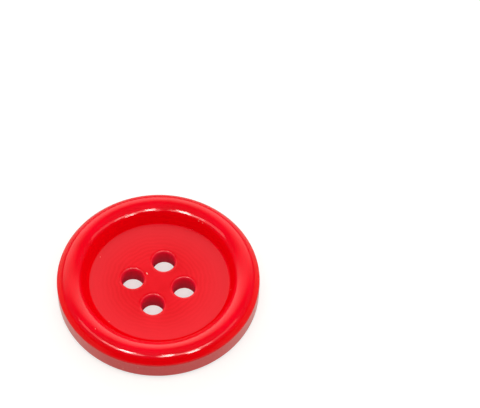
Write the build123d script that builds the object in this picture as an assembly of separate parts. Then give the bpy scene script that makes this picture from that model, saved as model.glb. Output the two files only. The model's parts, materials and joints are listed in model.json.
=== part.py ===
from build123d import *
import math
import os

# A four-hole sewing button with a raised round rim, turned and drilled from one piece of cast polyester.
# Millimetres and degrees. The button lies face up on its domed back: the origin is the lowest point
# of the back, on the button's axis, and +Z comes out of the face.

# Whole button
button_diameter = 20.0
rim_height = 3.17  # from the edge of the back up to the rim's crest
back_dome_height = 0.33  # how far the middle of the back stands below its edge
back_edge_radius = 0.3
side_lean = 2.5  # how far the side wall leans in toward the back

# Rim and well
rim_crest_inset = 1.35  # from the side wall in to the rim's crest
rim_outer_radius = 1.25  # the round of the rim from its crest outward
rim_inner_radius = 1.5  # the broader round from its crest in toward the well
rim_outer_slope = 58.0  # the short flank outside the rim, measured from the well's floor
rim_inner_slope = 66.0  # the steeper flank inside it, which runs down into the well
well_depth = 1.53  # from the rim's crest down to the flat floor

# Thread holes, on a square
hole_diameter = 2.2
hole_spacing = 3.63  # from one hole to the next along a side of the square
holes_per_side = 2
hole_mouth_radius = 0.3  # the soft round where a hole opens on the well's floor
hole_back_chamfer = 0.06  # the broken edge where it opens on the back

# What follows from these
hole_count = holes_per_side**2
outer_radius = button_diameter / 2
crest_height = back_dome_height + rim_height
floor_height = crest_height - well_depth
crest_radius = outer_radius - rim_crest_inset


def half_section():
    """Half of the button's section: domed back, side wall, round rim between two flanks, and flat floor."""
    outer_slope = math.radians(rim_outer_slope)
    shoulder_radius = crest_radius + rim_outer_radius * math.sin(outer_slope)
    shoulder_height = crest_height - rim_outer_radius * (1 - math.cos(outer_slope))
    side_height = shoulder_height - (outer_radius - shoulder_radius) * math.tan(outer_slope)
    back_radius = outer_radius - (side_height - back_dome_height) * math.tan(math.radians(side_lean))
    inner_slope = math.radians(rim_inner_slope)
    flank_radius = crest_radius - rim_inner_radius * math.sin(inner_slope)
    flank_height = crest_height - rim_inner_radius * (1 - math.cos(inner_slope))
    floor_radius = flank_radius - (flank_height - floor_height) / math.tan(inner_slope)

    with BuildSketch(Plane.XZ) as section:
        with BuildLine():
            back = TangentArc((0, 0), (back_radius, back_dome_height), tangent=(1, 0))
            side = Line(back @ 1, (outer_radius, side_height))
            shoulder = Line(side @ 1, (shoulder_radius, shoulder_height))
            outer_round = TangentArc(
                (crest_radius, crest_height),
                shoulder @ 1,
                tangent=(1, 0),
            )
            inner_round = TangentArc(
                outer_round @ 0,
                (flank_radius, flank_height),
                tangent=(-1, 0),
            )
            flank = Line(inner_round @ 1, (floor_radius, floor_height))
            floor = Line(flank @ 1, (0, floor_height))
            Line(floor @ 1, back @ 0)
        make_face()
        back_edge = section.vertices().sort_by_distance((back_radius, back_dome_height))[0]
        fillet(back_edge, back_edge_radius)
    return section.sketch


def sewing_button():
    """The turned blank with its four thread holes, soft at the face and crisp at the back."""
    with BuildPart() as button:
        add(half_section())
        revolve(axis=Axis.Z)
        with Locations((0, 0, floor_height)):
            with GridLocations(hole_spacing, hole_spacing, holes_per_side, holes_per_side):
                Hole(radius=hole_diameter / 2)
        mouths = button.edges(Select.LAST).filter_by(GeomType.LINE, reverse=True).sort_by(Axis.Z)
        fillet(mouths[hole_count:], hole_mouth_radius)
        chamfer(mouths[:hole_count], hole_back_chamfer)
    return button.part


os.makedirs("parts", exist_ok=True)
export_step(sewing_button(), "parts/button.step")
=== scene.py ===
import json
import math
from types import SimpleNamespace

import bmesh
import bpy
from mathutils import Matrix, Vector


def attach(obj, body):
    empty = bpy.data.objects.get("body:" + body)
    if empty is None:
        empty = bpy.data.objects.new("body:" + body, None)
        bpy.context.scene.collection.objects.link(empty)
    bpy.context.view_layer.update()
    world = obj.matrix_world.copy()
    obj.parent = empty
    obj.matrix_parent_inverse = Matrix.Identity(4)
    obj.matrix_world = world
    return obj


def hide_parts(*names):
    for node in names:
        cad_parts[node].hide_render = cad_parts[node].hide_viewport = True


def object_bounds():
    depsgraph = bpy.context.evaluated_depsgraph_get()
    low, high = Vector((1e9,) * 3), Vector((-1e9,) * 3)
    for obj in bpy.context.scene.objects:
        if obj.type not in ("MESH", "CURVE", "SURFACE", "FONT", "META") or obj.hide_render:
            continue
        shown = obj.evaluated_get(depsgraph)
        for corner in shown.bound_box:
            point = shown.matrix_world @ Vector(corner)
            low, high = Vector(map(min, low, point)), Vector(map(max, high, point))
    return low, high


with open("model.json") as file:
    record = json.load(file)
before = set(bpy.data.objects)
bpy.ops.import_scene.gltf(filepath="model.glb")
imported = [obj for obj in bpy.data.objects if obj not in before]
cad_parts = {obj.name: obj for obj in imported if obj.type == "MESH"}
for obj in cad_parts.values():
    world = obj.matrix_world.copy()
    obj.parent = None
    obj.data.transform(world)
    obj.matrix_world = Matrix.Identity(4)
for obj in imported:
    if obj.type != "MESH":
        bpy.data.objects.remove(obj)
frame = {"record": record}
cad_low, cad_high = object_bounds()

# Sizes of the button, in metres, as its solid has them
MILLIMETRE = 0.001
OUTER_RADIUS = (cad_high.x - cad_low.x) / 2
CREST_HEIGHT = cad_high.z
BACK_DOME_HEIGHT = 0.00033
BACK_EDGE_RADIUS = 0.0003
SIDE_LEAN = math.radians(2.5)
RIM_CREST_INSET = 0.00135
RIM_OUTER_RADIUS = 0.00125
RIM_INNER_RADIUS = 0.0015
RIM_OUTER_SLOPE = math.radians(58)
RIM_FLANK_SLOPE = math.radians(66)
WELL_DEPTH = 0.00153
HOLE_MOUTH_RADIUS = 0.0003
thread_hole = frame["record"]["mounts"][0]
HOLE_RADIUS = thread_hole["dims"]["r_mm"] * MILLIMETRE
HOLE_OFFSET = abs(thread_hole["pos_m"][0])

# Small rounds on edges that the solid has sharp or chamfered
WELL_CORNER_RADIUS = 0.00001
SHOULDER_RADIUS = 0.0005
HOLE_BACK_RADIUS = 0.00005

# Places that follow from these sizes. The web is the pierced middle of the button, out to a margin
# round its holes.
FLOOR_HEIGHT = CREST_HEIGHT - WELL_DEPTH
CREST_RADIUS = OUTER_RADIUS - RIM_CREST_INSET
SHOULDER_X = CREST_RADIUS + RIM_OUTER_RADIUS * math.sin(RIM_OUTER_SLOPE)
SHOULDER_HEIGHT = CREST_HEIGHT - RIM_OUTER_RADIUS * (1 - math.cos(RIM_OUTER_SLOPE))
SIDE_HEIGHT = SHOULDER_HEIGHT - (OUTER_RADIUS - SHOULDER_X) * math.tan(RIM_OUTER_SLOPE)
BACK_RADIUS = OUTER_RADIUS - (SIDE_HEIGHT - BACK_DOME_HEIGHT) * math.tan(SIDE_LEAN)
DOME_RADIUS = (BACK_RADIUS**2 + BACK_DOME_HEIGHT**2) / (2 * BACK_DOME_HEIGHT)
FLANK_X = CREST_RADIUS - RIM_INNER_RADIUS * math.sin(RIM_FLANK_SLOPE)
FLANK_HEIGHT = CREST_HEIGHT - RIM_INNER_RADIUS * (1 - math.cos(RIM_FLANK_SLOPE))
FLOOR_RADIUS = FLANK_X - (FLANK_HEIGHT - FLOOR_HEIGHT) / math.tan(RIM_FLANK_SLOPE)
WEB_MARGIN = 0.0009
WEB_RADIUS = math.hypot(HOLE_OFFSET, HOLE_OFFSET) + HOLE_RADIUS + WEB_MARGIN

# How finely the mesh follows them: steps of each kind of run, how close a straight run's support
# rows lie to its ends, the largest share of the run that this may be, how the web's rings crowd
# toward a hole, and how close points are to be merged
TURN_STEPS = 256
SPOKE_STEPS = 24
WEB_STEPS = 10
ROUND_STEPS = 6
EDGE_STEPS = 12
BEAD_STEPS = 24
FLAT_STEPS = 8
EDGE_SUPPORT = 0.00003
SUPPORT_LIMIT = 0.25
WEB_CROWDING = 1.5
MERGE_DISTANCE = 1e-7

# The polyester's reds: two in soft patches over the rim and the back, two on the well's floor, one
# toward the floor's edge, a lighter one on the rim's outer slope as painted light, a deeper one on
# its inner flank as painted shade, one on the side wall, and two down the holes, the second a
# painted shade toward their bottom. The patches' scale is per metre.
LIGHT_RED = (0.94, 0.0, 0.016, 1)
DEEP_RED = (0.87, 0.0, 0.01, 1)
FLOOR_LIGHT_RED = (0.86, 0.006, 0.018, 1)
FLOOR_DEEP_RED = (0.76, 0.0, 0.008, 1)
SATIN_RED = (0.84, 0.006, 0.02, 1)
SLOPE_PAINTED_LIGHT_RED = (0.96, 0.0, 0.004, 1)
FLANK_PAINTED_SHADE_RED = (0.82, 0.0, 0.004, 1)
DULL_RED = (0.78, 0.006, 0.01, 1)
DRILLED_RED = (0.84, 0.0, 0.03, 1)
DRILLED_PAINTED_SHADE_RED = (0.6, 0.03, 0.07, 1)
PATCH_SCALE = 240.0
PATCH_DETAIL = 4.0
PATCH_RANGE = (0.35, 0.65)

# Its roughness: polished, satin (from the middle of the floor outward), frosted and drilled,
# and the range of the fine noise that the polish and the frost follow
POLISHED = (0.08, 0.11)
SATIN = (0.12, 0.27)
FROSTED = (0.32, 0.5)
DRILLED = 0.75
FINE_RANGE = (0.3, 0.7)

# How strongly it mirrors: plain, on the floor from its middle outward, on the rim's two flanks,
# and in the holes. The side wall's frost adds a sheen.
IOR = 1.5
GLOSS = 0.5
FLOOR_GLOSS = (0.24, 0.45)
SLOPE_GLOSS = 0.14
FLANK_GLOSS = 0.0
DRILLED_GLOSS = 0.1
FROST_SHEEN = 0.8
FROST_SHEEN_ROUGHNESS = 0.4

# Where these change, in metres. The satin floor is not quite round, nor quite in the middle of
# the well. The flanks' depths are below the crest.
SATIN_EDGE = (0.0067, 0.00684)
SATIN_CENTRE = (0.00018, 0.00001, 0)
SATIN_TURN = math.radians(-32)
SATIN_STRETCH = (1.022, 1, 1)
FLOOR_QUARTER = FLOOR_RADIUS / 4
FLOOR_HALF = FLOOR_RADIUS / 2
FLANK_DEPTHS = (0.00024, 0.00048)
FROST_BLEND = 0.0002
DRILLED_LOW_EDGE = (BACK_DOME_HEIGHT / 3, BACK_DOME_HEIGHT / 2)

# Its relief: broad waves left by polishing, turning rings on the well's floor and turning marks on
# the side wall. Scales are per metre and depths are in thousandths of a millimetre. The rings also
# have a share in the floor's reds.
RELIEF_UNIT = 1e-6
WAVE_SCALE = 260.0
WAVE_DETAIL = 1.0
WAVE_DEPTH = 4.0
RING_PITCH = 0.00042
WAVE_TEXTURE_RATE = 20.0  # what Blender's wave texture multiplies its own scale by
RING_SCALE = math.tau / (WAVE_TEXTURE_RATE * RING_PITCH)
RING_WANDER = 5.0
RING_SHARE = 0.5
RING_DEPTH = 0.4
MARK_SCALE = 5000.0
MARK_DETAIL = 2.0
MARK_STRETCH = (0.06, 0.06, 1.0)
MARK_DEPTH = 2.5

# Dust on the face and the side, and one painted glint at a hole's edge (the first speck): each
# speck's place and its reach each way, in millimetres, and its strength, which is full over the
# core's share of its reach
DUST_AND_GLINT = (0.9, 0.5, 0.42, 1)
DUST_AND_GLINT_ROUGHNESS = 0.6
SPECK_CORE = 0.5
SPECKS = (
    # The first speck is a painted glint on the edge of a hole; the rest are dust.
    ((-0.34, 1.51, 1.97), (0.07, 0.17, 0.05), 0.9),
    ((-6.49, -1.13, 1.97), (0.06, 0.06, 0.05), 0.25),
    ((-3.13, 5.68, 1.97), (0.06, 0.06, 0.05), 0.3),
    ((5.32, -4.93, 2.56), (0.09, 0.09, 0.09), 0.35),
    ((6.88, 3.25, 3.08), (0.08, 0.08, 0.08), 0.3),
    ((7.07, 2.84, 3.09), (0.08, 0.08, 0.08), 0.25),
    ((-8.56, -1.94, 3.49), (0.06, 0.06, 0.06), 0.6),
    ((-7.97, -5.93, 1.0), (0.09, 0.09, 0.09), 0.45),
    ((-6.98, -7.12, 1.89), (0.09, 0.09, 0.09), 0.35),
    ((-8.23, -5.62, 1.69), (0.07, 0.07, 0.07), 0.3),
)

# The photograph's frame, in pixels, and where the button lies in it
PHOTO_WIDTH = 480
PHOTO_HEIGHT = 408
BUTTON_X = 158.3
BUTTON_Y = 283.85
BUTTON_PIXELS = 203.2

# The photograph's viewpoint, and how far the camera sees
VIEW_AZIMUTH = math.radians(-32.3)
VIEW_ELEVATION = math.radians(57.0)
VIEW_ROLL = math.radians(1.0)
VIEW_DISTANCE = 1.0
VIEW_REACH = 10.0
SENSOR_WIDTH = 36.0

# The floor: its own white, the glow added to it where it is seen, out in the open and, lower as a
# painted shadow, under the button, and how much of the glow reflections show
FLOOR_REACH = 3.0
FLOOR_WHITE = 0.46
FLOOR_GLOW = 0.65
FLOOR_GLOW_PAINTED_SHADOW = 0.54
GLOW_IN_GLOSS = 0.1

# The studio's surround: a pale horizon, and a soft light behind the button that stops short of the
# horizon. Heights are sines of the elevation, and the spread is the cosine of the angle to the
# light's middle.
SURROUND = 0.05
HORIZON_REACH = 0.05
BACKLIGHT = 1.9
BACKLIGHT_BEARING = math.radians(-5)
BACKLIGHT_SPREAD = (0.34, 0.9)
BACKLIGHT_LOW_EDGE = (0.24, 0.34)

# The lamps. Each has its bearing from straight behind the button (clockwise seen from above, with
# the camera at 180), its elevation, its width and height as the button sees them, all in degrees,
# its brightness, whether it lights matt surfaces and whether gloss mirrors it.
LAMP_DISTANCE = 0.6
LAMP_TINT = (1.0, 0.95, 0.87)
LAMPS = {
    "top_light": (180, 70, 60, 60, 1.64, True, False),
    "left_light": (-90, 25, 70, 44, 1.35, True, False),
    "right_light": (90, 25, 70, 44, 1.65, True, False),
    "back_light": (0, 30, 70, 50, 0.25, True, False),
    "front_left": (-142, 52, 10, 15, 21.0, False, True),
    "front_middle": (171, 52, 8, 13, 20.0, False, True),
    "front_right": (146, 38, 10, 13, 26.0, False, True),
    "front_left_strip": (-138, 51, 32, 10, 4.0, False, True),
    "front_right_strip": (153, 48, 42, 10, 4.8, False, True),
    "left_panel": (-112, 48, 40, 14, 1.5, False, True),
    "right_panel": (115, 46, 40, 14, 1.0, False, True),
}


def straight(start, end, steps):
    """Points along a straight run of the section, close together at its two ends."""
    run = Vector(end) - Vector(start)
    support = min(EDGE_SUPPORT / run.length, SUPPORT_LIMIT)
    shares = [0.0, support]
    shares += [step / steps for step in range(1, steps)]
    shares += [1 - support, 1.0]
    return [Vector(start) + run * share for share in shares]


def arc(centre, radius, start, end, steps):
    """Points along a round of the section, from one angle to another."""
    angles = [start + (end - start) * step / steps for step in range(steps + 1)]
    return [Vector(centre) + radius * Vector((math.cos(a), math.sin(a))) for a in angles]


def back_height(radius):
    """Height of the domed back at a distance from the axis."""
    return DOME_RADIUS - math.sqrt(DOME_RADIUS**2 - radius**2)


def back_edge_round():
    """The round between the domed back and the side wall, which touches both."""
    rise = Vector((math.sin(SIDE_LEAN), math.cos(SIDE_LEAN)))
    outward = Vector((math.cos(SIDE_LEAN), -math.sin(SIDE_LEAN)))
    from_dome = Vector((BACK_RADIUS, BACK_DOME_HEIGHT - DOME_RADIUS)) - outward * BACK_EDGE_RADIUS
    along = from_dome.dot(rise)
    inside = DOME_RADIUS - BACK_EDGE_RADIUS
    from_dome += rise * (-along - math.sqrt(along**2 - from_dome.length_squared + inside**2))
    centre = from_dome + Vector((0, DOME_RADIUS))
    start = math.atan2(from_dome.y, from_dome.x)
    return arc(centre, BACK_EDGE_RADIUS, start, -SIDE_LEAN, EDGE_STEPS)


def shoulder_round():
    """The small round between the side wall and the rim's outer slope."""
    end = math.pi / 2 - RIM_OUTER_SLOPE
    facing = (end - SIDE_LEAN) / 2
    reach = SHOULDER_RADIUS / math.cos((end + SIDE_LEAN) / 2)
    corner = Vector((OUTER_RADIUS, SIDE_HEIGHT))
    centre = corner - Vector((math.cos(facing), math.sin(facing))) * reach
    return arc(centre, SHOULDER_RADIUS, -SIDE_LEAN, end, ROUND_STEPS)


def rim_round():
    """The rim's outer round and its broader inner round, which meet at the crest."""
    crest = Vector((CREST_RADIUS, CREST_HEIGHT))
    upright = math.pi / 2
    outer_centre = crest - Vector((0, RIM_OUTER_RADIUS))
    inner_centre = crest - Vector((0, RIM_INNER_RADIUS))
    outer = arc(outer_centre, RIM_OUTER_RADIUS, upright - RIM_OUTER_SLOPE, upright, BEAD_STEPS)
    inner = arc(inner_centre, RIM_INNER_RADIUS, upright, upright + RIM_FLANK_SLOPE, BEAD_STEPS)
    return outer + inner[1:]


def well_corner():
    """The tight round between the rim's inner flank and the well's floor."""
    reach = WELL_CORNER_RADIUS * math.tan(RIM_FLANK_SLOPE / 2)
    centre = Vector((FLOOR_RADIUS - reach, FLOOR_HEIGHT + WELL_CORNER_RADIUS))
    end = math.pi * 3 / 2
    return arc(centre, WELL_CORNER_RADIUS, end + RIM_FLANK_SLOPE, end, ROUND_STEPS)


def half_section():
    """The section outside the web, from the back round over the rim to the well's floor."""
    back_edge = back_edge_round()
    shoulder = shoulder_round()
    bead = rim_round()
    corner = well_corner()
    back = []
    for step in range(FLAT_STEPS):
        share = step / (FLAT_STEPS - 1)
        radius = WEB_RADIUS + (back_edge[0].x - EDGE_SUPPORT - WEB_RADIUS) * share
        back.append(Vector((radius, back_height(radius))))
    side = straight(back_edge[-1], shoulder[0], FLAT_STEPS)
    slope = straight(shoulder[-1], bead[0], FLAT_STEPS)
    flank = straight(bead[-1], corner[0], FLAT_STEPS)
    floor = straight(corner[-1], (WEB_RADIUS, FLOOR_HEIGHT), FLAT_STEPS)
    outside = back + back_edge + side[1:-1] + shoulder + slope[1:-1]
    return outside + bead + flank[1:-1] + corner + floor[1:-2] + floor[-1:]


def skin(bm, rows):
    """Four-sided faces between neighbouring rings of points."""
    rows = [[bm.verts.new(point) for point in row] for row in rows]
    for row, following in zip(rows, rows[1:]):
        count = len(row)
        for step in range(count):
            turn = (step + 1) % count
            bm.faces.new((row[step], row[turn], following[turn], following[step]))


def lathe_rows():
    """The section turned about the button's axis, one ring of points for each of its points."""
    angles = [math.tau * step / TURN_STEPS for step in range(TURN_STEPS)]
    turns = [(math.cos(angle), math.sin(angle)) for angle in angles]
    rows = []
    for point in half_section():
        rows.append([Vector((point.x * x, point.x * y, point.y)) for x, y in turns])
    return rows


def ring_point(place, height):
    """A point of the web from its place on the plan and its height."""
    return Vector((place.x, place.y, height))


def quarter_outline():
    """A quarter of the web's outline: round its rim, in along one spoke and out along the other."""
    rim_steps = TURN_STEPS // 4
    angles = [math.tau * step / TURN_STEPS for step in range(rim_steps)]
    rim = [Vector((math.cos(angle), math.sin(angle))) * WEB_RADIUS for angle in angles]
    shares = [step / SPOKE_STEPS for step in range(SPOKE_STEPS)]
    inward = [Vector((0, WEB_RADIUS * (1 - share))) for share in shares]
    outward = [Vector((WEB_RADIUS * share, 0)) for share in shares]
    return rim + inward + outward


def mouth_rings(centre, outline, round_radius):
    """Rings from the web's outline in to a hole's wall, each with its depth below the face."""
    rays = [(point - centre).normalized() for point in outline]
    mouth = HOLE_RADIUS + round_radius
    rings = []
    for step in range(WEB_STEPS, 0, -1):
        spread = (step / WEB_STEPS) ** WEB_CROWDING
        ring = [(centre + ray * mouth).lerp(point, spread) for ray, point in zip(rays, outline)]
        rings.append((ring, 0))
    for step in range(ROUND_STEPS + 1):
        turn = math.pi / 2 * step / ROUND_STEPS
        reach = mouth - round_radius * math.sin(turn)
        depth = round_radius * (1 - math.cos(turn))
        rings.append(([centre + ray * reach for ray in rays], depth))
    return rings


def hole_rows():
    """Rings of a quarter of the web: over its floor, down a thread hole and out over the back."""
    centre = Vector((HOLE_OFFSET, HOLE_OFFSET))
    outline = quarter_outline()
    upper = []
    for ring, depth in mouth_rings(centre, outline, HOLE_MOUTH_RADIUS):
        upper.append([ring_point(point, FLOOR_HEIGHT - depth) for point in ring])
    lower = []
    for ring, depth in mouth_rings(centre, outline, HOLE_BACK_RADIUS):
        lower.append([ring_point(point, back_height(point.length) + depth) for point in ring])
    wall = []
    for step in range(1, ROUND_STEPS):
        share = step / ROUND_STEPS
        wall.append([top.lerp(bottom, share) for top, bottom in zip(upper[-1], lower[-1])])
    return upper + wall + lower[::-1]


def make_button():
    """The whole button as one closed mesh."""
    bm = bmesh.new()
    skin(bm, lathe_rows())
    for quarter in range(4):
        turn = Matrix.Rotation(math.pi / 2 * quarter, 3, "Z")
        skin(bm, [[turn @ point for point in row] for row in hole_rows()])
    bmesh.ops.remove_doubles(bm, verts=bm.verts, dist=MERGE_DISTANCE)
    bmesh.ops.recalc_face_normals(bm, faces=bm.faces)
    mesh = bpy.data.meshes.new("sewing_button")
    bm.to_mesh(mesh)
    bm.free()
    mesh.shade_smooth()
    button = bpy.data.objects.new("sewing_button", mesh)
    bpy.context.scene.collection.objects.link(button)
    return button


def add_node(tree, kind, inputs, **settings):
    """A shader node with its settings, and its inputs set to values or joined to outputs."""
    node = tree.nodes.new("ShaderNode" + kind)
    for name, value in settings.items():
        setattr(node, name, value)
    for socket, value in inputs.items():
        if isinstance(value, bpy.types.NodeSocket):
            tree.links.new(value, node.inputs[socket])
        else:
            node.inputs[socket].default_value = value
    return node


def calculate(tree, operation, *values):
    """The result of one sum on numbers or sockets."""
    return add_node(tree, "Math", dict(enumerate(values)), operation=operation).outputs[0]


def product(tree, first, *others):
    """Several numbers or sockets multiplied together."""
    result = first
    for other in others:
        result = calculate(tree, "MULTIPLY", result, other)
    return result


def vector_sum(tree, operation, *values):
    """The node for one sum on vectors."""
    return add_node(tree, "VectorMath", dict(enumerate(values)), operation=operation)


def length(tree, vector):
    """The length of a vector."""
    return vector_sum(tree, "LENGTH", vector).outputs["Value"]


def change(tree, value, start, end, low=0.0, high=1.0):
    """A smooth change from low to high while a value goes from start to end."""
    inputs = {"Value": value, "From Min": start, "From Max": end, "To Min": low, "To Max": high}
    return add_node(tree, "MapRange", inputs, interpolation_type="SMOOTHSTEP").outputs["Result"]


# The Mix node's sockets are given by number, because their names repeat.
def blend(tree, share, low, high):
    """A number between two others."""
    return add_node(tree, "Mix", {0: share, 2: low, 3: high}, data_type="FLOAT").outputs[0]


def blend_colours(tree, share, low, high):
    """A colour between two others."""
    return add_node(tree, "Mix", {0: share, 6: low, 7: high}, data_type="RGBA").outputs[2]


def noise(tree, place, scale, detail):
    """A soft random pattern from 0 to 1."""
    inputs = {"Vector": place, "Scale": scale, "Detail": detail}
    return add_node(tree, "TexNoise", inputs).outputs["Fac"]


def turning_rings(tree, place):
    """A pattern from 0 to 1 of slightly uneven rings about the axis."""
    inputs = {"Vector": place, "Scale": RING_SCALE, "Distortion": RING_WANDER}
    settings = {"wave_type": "RINGS", "rings_direction": "Z"}
    return add_node(tree, "TexWave", inputs, **settings).outputs["Fac"]


def survey(tree):
    """Where each point of the surface lies, and how far it belongs to each zone."""
    spot = SimpleNamespace()
    spot.place = add_node(tree, "TexCoord", {}).outputs["Object"]
    plan = vector_sum(tree, "MULTIPLY", spot.place, (1, 1, 0)).outputs["Vector"]
    spot.radius = length(tree, plan)
    spot.height = add_node(tree, "SeparateXYZ", {0: spot.place}).outputs["Z"]
    spot.inward = calculate(tree, "LESS_THAN", spot.radius, CREST_RADIUS)
    spot.rings = turning_rings(tree, spot.place)

    lie = {"Location": SATIN_CENTRE, "Rotation": (0, 0, SATIN_TURN), "Scale": SATIN_STRETCH}
    on_satin = add_node(tree, "Mapping", {"Vector": plan, **lie}, vector_type="TEXTURE")
    polished = change(tree, length(tree, on_satin.outputs["Vector"]), *SATIN_EDGE)
    in_well = calculate(tree, "SUBTRACT", 1.0, polished)
    at_floor = calculate(tree, "COMPARE", spot.height, FLOOR_HEIGHT, EDGE_SUPPORT)
    spot.floor = product(tree, in_well, at_floor)

    outside = calculate(tree, "GREATER_THAN", spot.radius, BACK_RADIUS - BACK_EDGE_RADIUS)
    below_rim = change(tree, spot.height, SIDE_HEIGHT + FROST_BLEND, SIDE_HEIGHT - FROST_BLEND)
    spot.side = product(tree, outside, below_rim)

    start, end = FLANK_DEPTHS
    steep = change(tree, spot.height, CREST_HEIGHT - start, CREST_HEIGHT - end)
    in_rim = calculate(tree, "GREATER_THAN", spot.height, SIDE_HEIGHT / 2)
    spot.flanks = product(tree, steep, polished, in_rim)

    in_web = calculate(tree, "LESS_THAN", spot.radius, WEB_RADIUS)
    half_mouth = FLOOR_HEIGHT - HOLE_MOUTH_RADIUS / 2
    under_mouth = change(tree, spot.height, FLOOR_HEIGHT, half_mouth)
    above_back = change(tree, spot.height, *DRILLED_LOW_EDGE)
    spot.drilled = product(tree, in_web, under_mouth, above_back)
    return spot


def base_colour(tree, spot):
    """The polyester's reds, without the specks and the painted glint."""
    patches = change(tree, noise(tree, spot.place, PATCH_SCALE, PATCH_DETAIL), *PATCH_RANGE)
    red = blend_colours(tree, patches, DEEP_RED, LIGHT_RED)
    # Painted light on the outer slope and painted shade on the inner flank: a lighter and a deeper
    # red.
    slopes = blend_colours(tree, spot.inward, SLOPE_PAINTED_LIGHT_RED, FLANK_PAINTED_SHADE_RED)
    red = blend_colours(tree, spot.flanks, red, slopes)
    red = blend_colours(tree, spot.side, red, DULL_RED)

    ringed = change(tree, spot.radius, FLOOR_QUARTER, FLOOR_HALF, 0.0, RING_SHARE)
    floor_share = blend(tree, ringed, patches, spot.rings)
    floor_red = blend_colours(tree, floor_share, FLOOR_DEEP_RED, FLOOR_LIGHT_RED)
    red = blend_colours(tree, spot.floor, red, floor_red)
    outward = change(tree, spot.radius, FLOOR_HALF, FLOOR_RADIUS)
    red = blend_colours(tree, product(tree, outward, spot.floor), red, SATIN_RED)

    # Painted shade down the holes: their walls turn a darker, greyer red toward the back.
    depth = change(tree, spot.height, FLOOR_HEIGHT, 0.0)
    drilled_red_with_painted_shade = blend_colours(tree, depth, DRILLED_RED, DRILLED_PAINTED_SHADE_RED)
    return blend_colours(tree, spot.drilled, red, drilled_red_with_painted_shade)


def roughness(tree, spot):
    """The polyester's roughness, without the specks and the painted glint."""
    fine = noise(tree, spot.place, MARK_SCALE, MARK_DETAIL)
    polish = change(tree, fine, *FINE_RANGE, *POLISHED)
    satin = change(tree, spot.radius, FLOOR_QUARTER, FLOOR_RADIUS, *SATIN)
    frost = change(tree, fine, *FINE_RANGE, *FROSTED)
    rough = blend(tree, spot.floor, polish, satin)
    rough = blend(tree, spot.side, rough, frost)
    return blend(tree, spot.drilled, rough, DRILLED)


def gloss(tree, spot):
    """How strongly the polyester mirrors what is around it."""
    slopes = blend(tree, spot.inward, SLOPE_GLOSS, FLANK_GLOSS)
    floor = change(tree, spot.radius, FLOOR_QUARTER, FLOOR_RADIUS, *FLOOR_GLOSS)
    level = blend(tree, spot.flanks, GLOSS, slopes)
    level = blend(tree, spot.floor, level, floor)
    level = blend(tree, spot.drilled, level, DRILLED_GLOSS)
    return blend(tree, spot.side, level, GLOSS)


def relief(tree, spot):
    """The height of the surface's fine relief."""
    waves = product(tree, noise(tree, spot.place, WAVE_SCALE, WAVE_DETAIL), WAVE_DEPTH)
    turned = product(tree, spot.rings, spot.floor, RING_DEPTH)
    stretched = vector_sum(tree, "MULTIPLY", spot.place, MARK_STRETCH).outputs["Vector"]
    marks = product(tree, noise(tree, stretched, MARK_SCALE, MARK_DETAIL), spot.side, MARK_DEPTH)
    return calculate(tree, "ADD", calculate(tree, "ADD", waves, turned), marks)


def dust_and_glint(tree, place):
    """How far each point is covered by a speck: specks of Dust, and a painted glint for the first.
    """
    cover = None
    for centre, reach, strength in SPECKS:
        offset = vector_sum(tree, "SUBTRACT", place, Vector(centre) * MILLIMETRE)
        share = vector_sum(tree, "DIVIDE", offset.outputs["Vector"], Vector(reach) * MILLIMETRE)
        distance = length(tree, share.outputs["Vector"])
        speck = change(tree, distance, 1.0, SPECK_CORE, 0.0, strength)
        cover = calculate(tree, "MAXIMUM", cover, speck) if cover else speck
    return cover


def polyester():
    """Red cast polyester: polished rim, satin well, frosted side, drilled holes, specks and a
    painted glint.
    """
    material = bpy.data.materials.new("red_polyester")
    material.use_nodes = True
    tree = material.node_tree
    spot = survey(tree)
    # The specks are dust, except the first, which is a painted glint.
    specks = dust_and_glint(tree, spot.place)
    bump = add_node(tree, "Bump", {"Distance": RELIEF_UNIT, "Height": relief(tree, spot)})
    sockets = tree.nodes["Principled BSDF"].inputs
    sockets["IOR"].default_value = IOR
    sockets["Sheen Roughness"].default_value = FROST_SHEEN_ROUGHNESS
    joined = {
        "Base Color": blend_colours(tree, specks, base_colour(tree, spot), DUST_AND_GLINT),
        "Roughness": blend(tree, specks, roughness(tree, spot), DUST_AND_GLINT_ROUGHNESS),
        "Specular IOR Level": gloss(tree, spot),
        "Sheen Weight": product(tree, spot.side, FROST_SHEEN),
        "Normal": bump.outputs["Normal"],
    }
    for name, output in joined.items():
        tree.links.new(output, sockets[name])
    return material


def view_axes():
    """The photograph's right, up and backward directions, with its slight roll."""
    backward = Vector((
        math.sin(VIEW_AZIMUTH) * math.cos(VIEW_ELEVATION),
        -math.cos(VIEW_AZIMUTH) * math.cos(VIEW_ELEVATION),
        math.sin(VIEW_ELEVATION),
    ))
    level = Vector((math.cos(VIEW_AZIMUTH), math.sin(VIEW_AZIMUTH), 0))
    steep = backward.cross(level)
    right = level * math.cos(VIEW_ROLL) - steep * math.sin(VIEW_ROLL)
    up = steep * math.cos(VIEW_ROLL) + level * math.sin(VIEW_ROLL)
    return right, up, backward


def add_camera():
    """The camera, aimed so that the button lies where the photograph has it."""
    right, up, backward = view_axes()
    pixel = 2 * OUTER_RADIUS / BUTTON_PIXELS
    middle = (cad_low + cad_high) / 2
    across = right * (PHOTO_WIDTH / 2 - BUTTON_X)
    upward = up * (BUTTON_Y - PHOTO_HEIGHT / 2)
    camera = bpy.data.objects.new("camera", bpy.data.cameras.new("camera"))
    bpy.context.scene.collection.objects.link(camera)
    camera.data.sensor_width = SENSOR_WIDTH
    camera.data.lens = SENSOR_WIDTH * VIEW_DISTANCE / (PHOTO_WIDTH * pixel)
    camera.data.clip_end = VIEW_REACH
    turned = Matrix((right, up, backward)).transposed().to_4x4()
    place = middle + (across + upward) * pixel + backward * VIEW_DISTANCE
    camera.matrix_world = Matrix.Translation(place) @ turned
    bpy.context.scene.camera = camera


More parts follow.
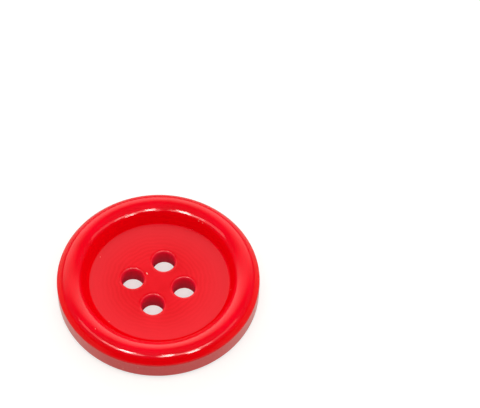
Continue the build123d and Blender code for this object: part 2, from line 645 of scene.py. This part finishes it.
def add_floor():
    """A white floor, which keeps the button's shadow, with a painted shadow under the button."""
    bm = bmesh.new()
    bmesh.ops.create_grid(bm, x_segments=1, y_segments=1, size=FLOOR_REACH)
    mesh = bpy.data.meshes.new("floor")
    bm.to_mesh(mesh)
    bm.free()
    floor = bpy.data.objects.new("floor", mesh)
    bpy.context.scene.collection.objects.link(floor)
    floor.data.materials.append(white_floor())


def white_floor():
    """Matt white, glowing where seen, faintly in reflections, with a painted shadow under the
    button.
    """
    material = bpy.data.materials.new("white_floor")
    material.use_nodes = True
    tree = material.node_tree
    tree.nodes.remove(tree.nodes["Principled BSDF"])
    path = add_node(tree, "LightPath", {}).outputs
    mirrored = calculate(tree, "MAXIMUM", path["Is Glossy Ray"], path["Is Transmission Ray"])
    mirrored = product(tree, mirrored, GLOW_IN_GLOSS)
    shown = calculate(tree, "MAXIMUM", path["Is Camera Ray"], mirrored)
    distance = length(tree, add_node(tree, "TexCoord", {}).outputs["Object"])
    # Painted shadow: the glow is lower under the button.
    level = change(tree, distance, WEB_RADIUS, BACK_RADIUS, FLOOR_GLOW_PAINTED_SHADOW, FLOOR_GLOW)
    white = (FLOOR_WHITE, FLOOR_WHITE, FLOOR_WHITE, 1)
    matt = add_node(tree, "BsdfDiffuse", {"Color": white}).outputs["BSDF"]
    glow = add_node(tree, "Emission", {"Strength": product(tree, shown, level)})
    both = add_node(tree, "AddShader", {0: matt, 1: glow.outputs["Emission"]})
    tree.links.new(both.outputs["Shader"], tree.nodes["Material Output"].inputs["Surface"])
    return material


def add_surround():
    """The studio's surround."""
    world = bpy.data.worlds.new("studio")
    bpy.context.scene.world = world
    world.use_nodes = True
    tree = world.node_tree
    direction = add_node(tree, "TexCoord", {}).outputs["Generated"]
    rise = add_node(tree, "SeparateXYZ", {0: direction}).outputs["Z"]
    horizon = change(tree, rise, 0.0, HORIZON_REACH, 1.0, SURROUND)
    low_edge = change(tree, rise, *BACKLIGHT_LOW_EDGE)
    turn = VIEW_AZIMUTH - BACKLIGHT_BEARING
    middle = (-math.sin(turn), math.cos(turn), 0)
    nearness = vector_sum(tree, "DOT_PRODUCT", direction, middle).outputs["Value"]
    spread = change(tree, nearness, *BACKLIGHT_SPREAD, 0.0, BACKLIGHT)
    background = tree.nodes["Background"].inputs
    background["Color"].default_value = (*LAMP_TINT, 1)
    strength = calculate(tree, "MULTIPLY_ADD", low_edge, spread, horizon)
    tree.links.new(strength, background["Strength"])


def add_lamp(name, bearing, elevation, width, height, brightness, on_matt, in_gloss):
    """A soft rectangular lamp that faces the button."""
    turn = VIEW_AZIMUTH - math.radians(bearing)
    tilt = math.radians(elevation)
    level = Vector((math.cos(turn), math.sin(turn), 0))
    outward = Vector((
        -math.sin(turn) * math.cos(tilt),
        math.cos(turn) * math.cos(tilt),
        math.sin(tilt),
    ))
    data = bpy.data.lights.new(name, "AREA")
    data.shape = "RECTANGLE"
    data.size = 2 * LAMP_DISTANCE * math.tan(math.radians(width) / 2)
    data.size_y = 2 * LAMP_DISTANCE * math.tan(math.radians(height) / 2)
    data.energy = math.pi * data.size * data.size_y * brightness
    data.color = LAMP_TINT
    lamp = bpy.data.objects.new(name, data)
    bpy.context.scene.collection.objects.link(lamp)
    turned = Matrix((level, outward.cross(level), outward)).transposed().to_4x4()
    lamp.matrix_world = Matrix.Translation(outward * LAMP_DISTANCE) @ turned
    lamp.visible_camera = False
    lamp.visible_diffuse = on_matt
    lamp.visible_glossy = in_gloss


button = make_button()
button.data.materials.append(polyester())
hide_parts("button")
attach(button, "root")
add_camera()
add_floor()
add_surround()
for name, setting in LAMPS.items():
    add_lamp(name, *setting)
bpy.context.scene.view_settings.view_transform = "Standard"
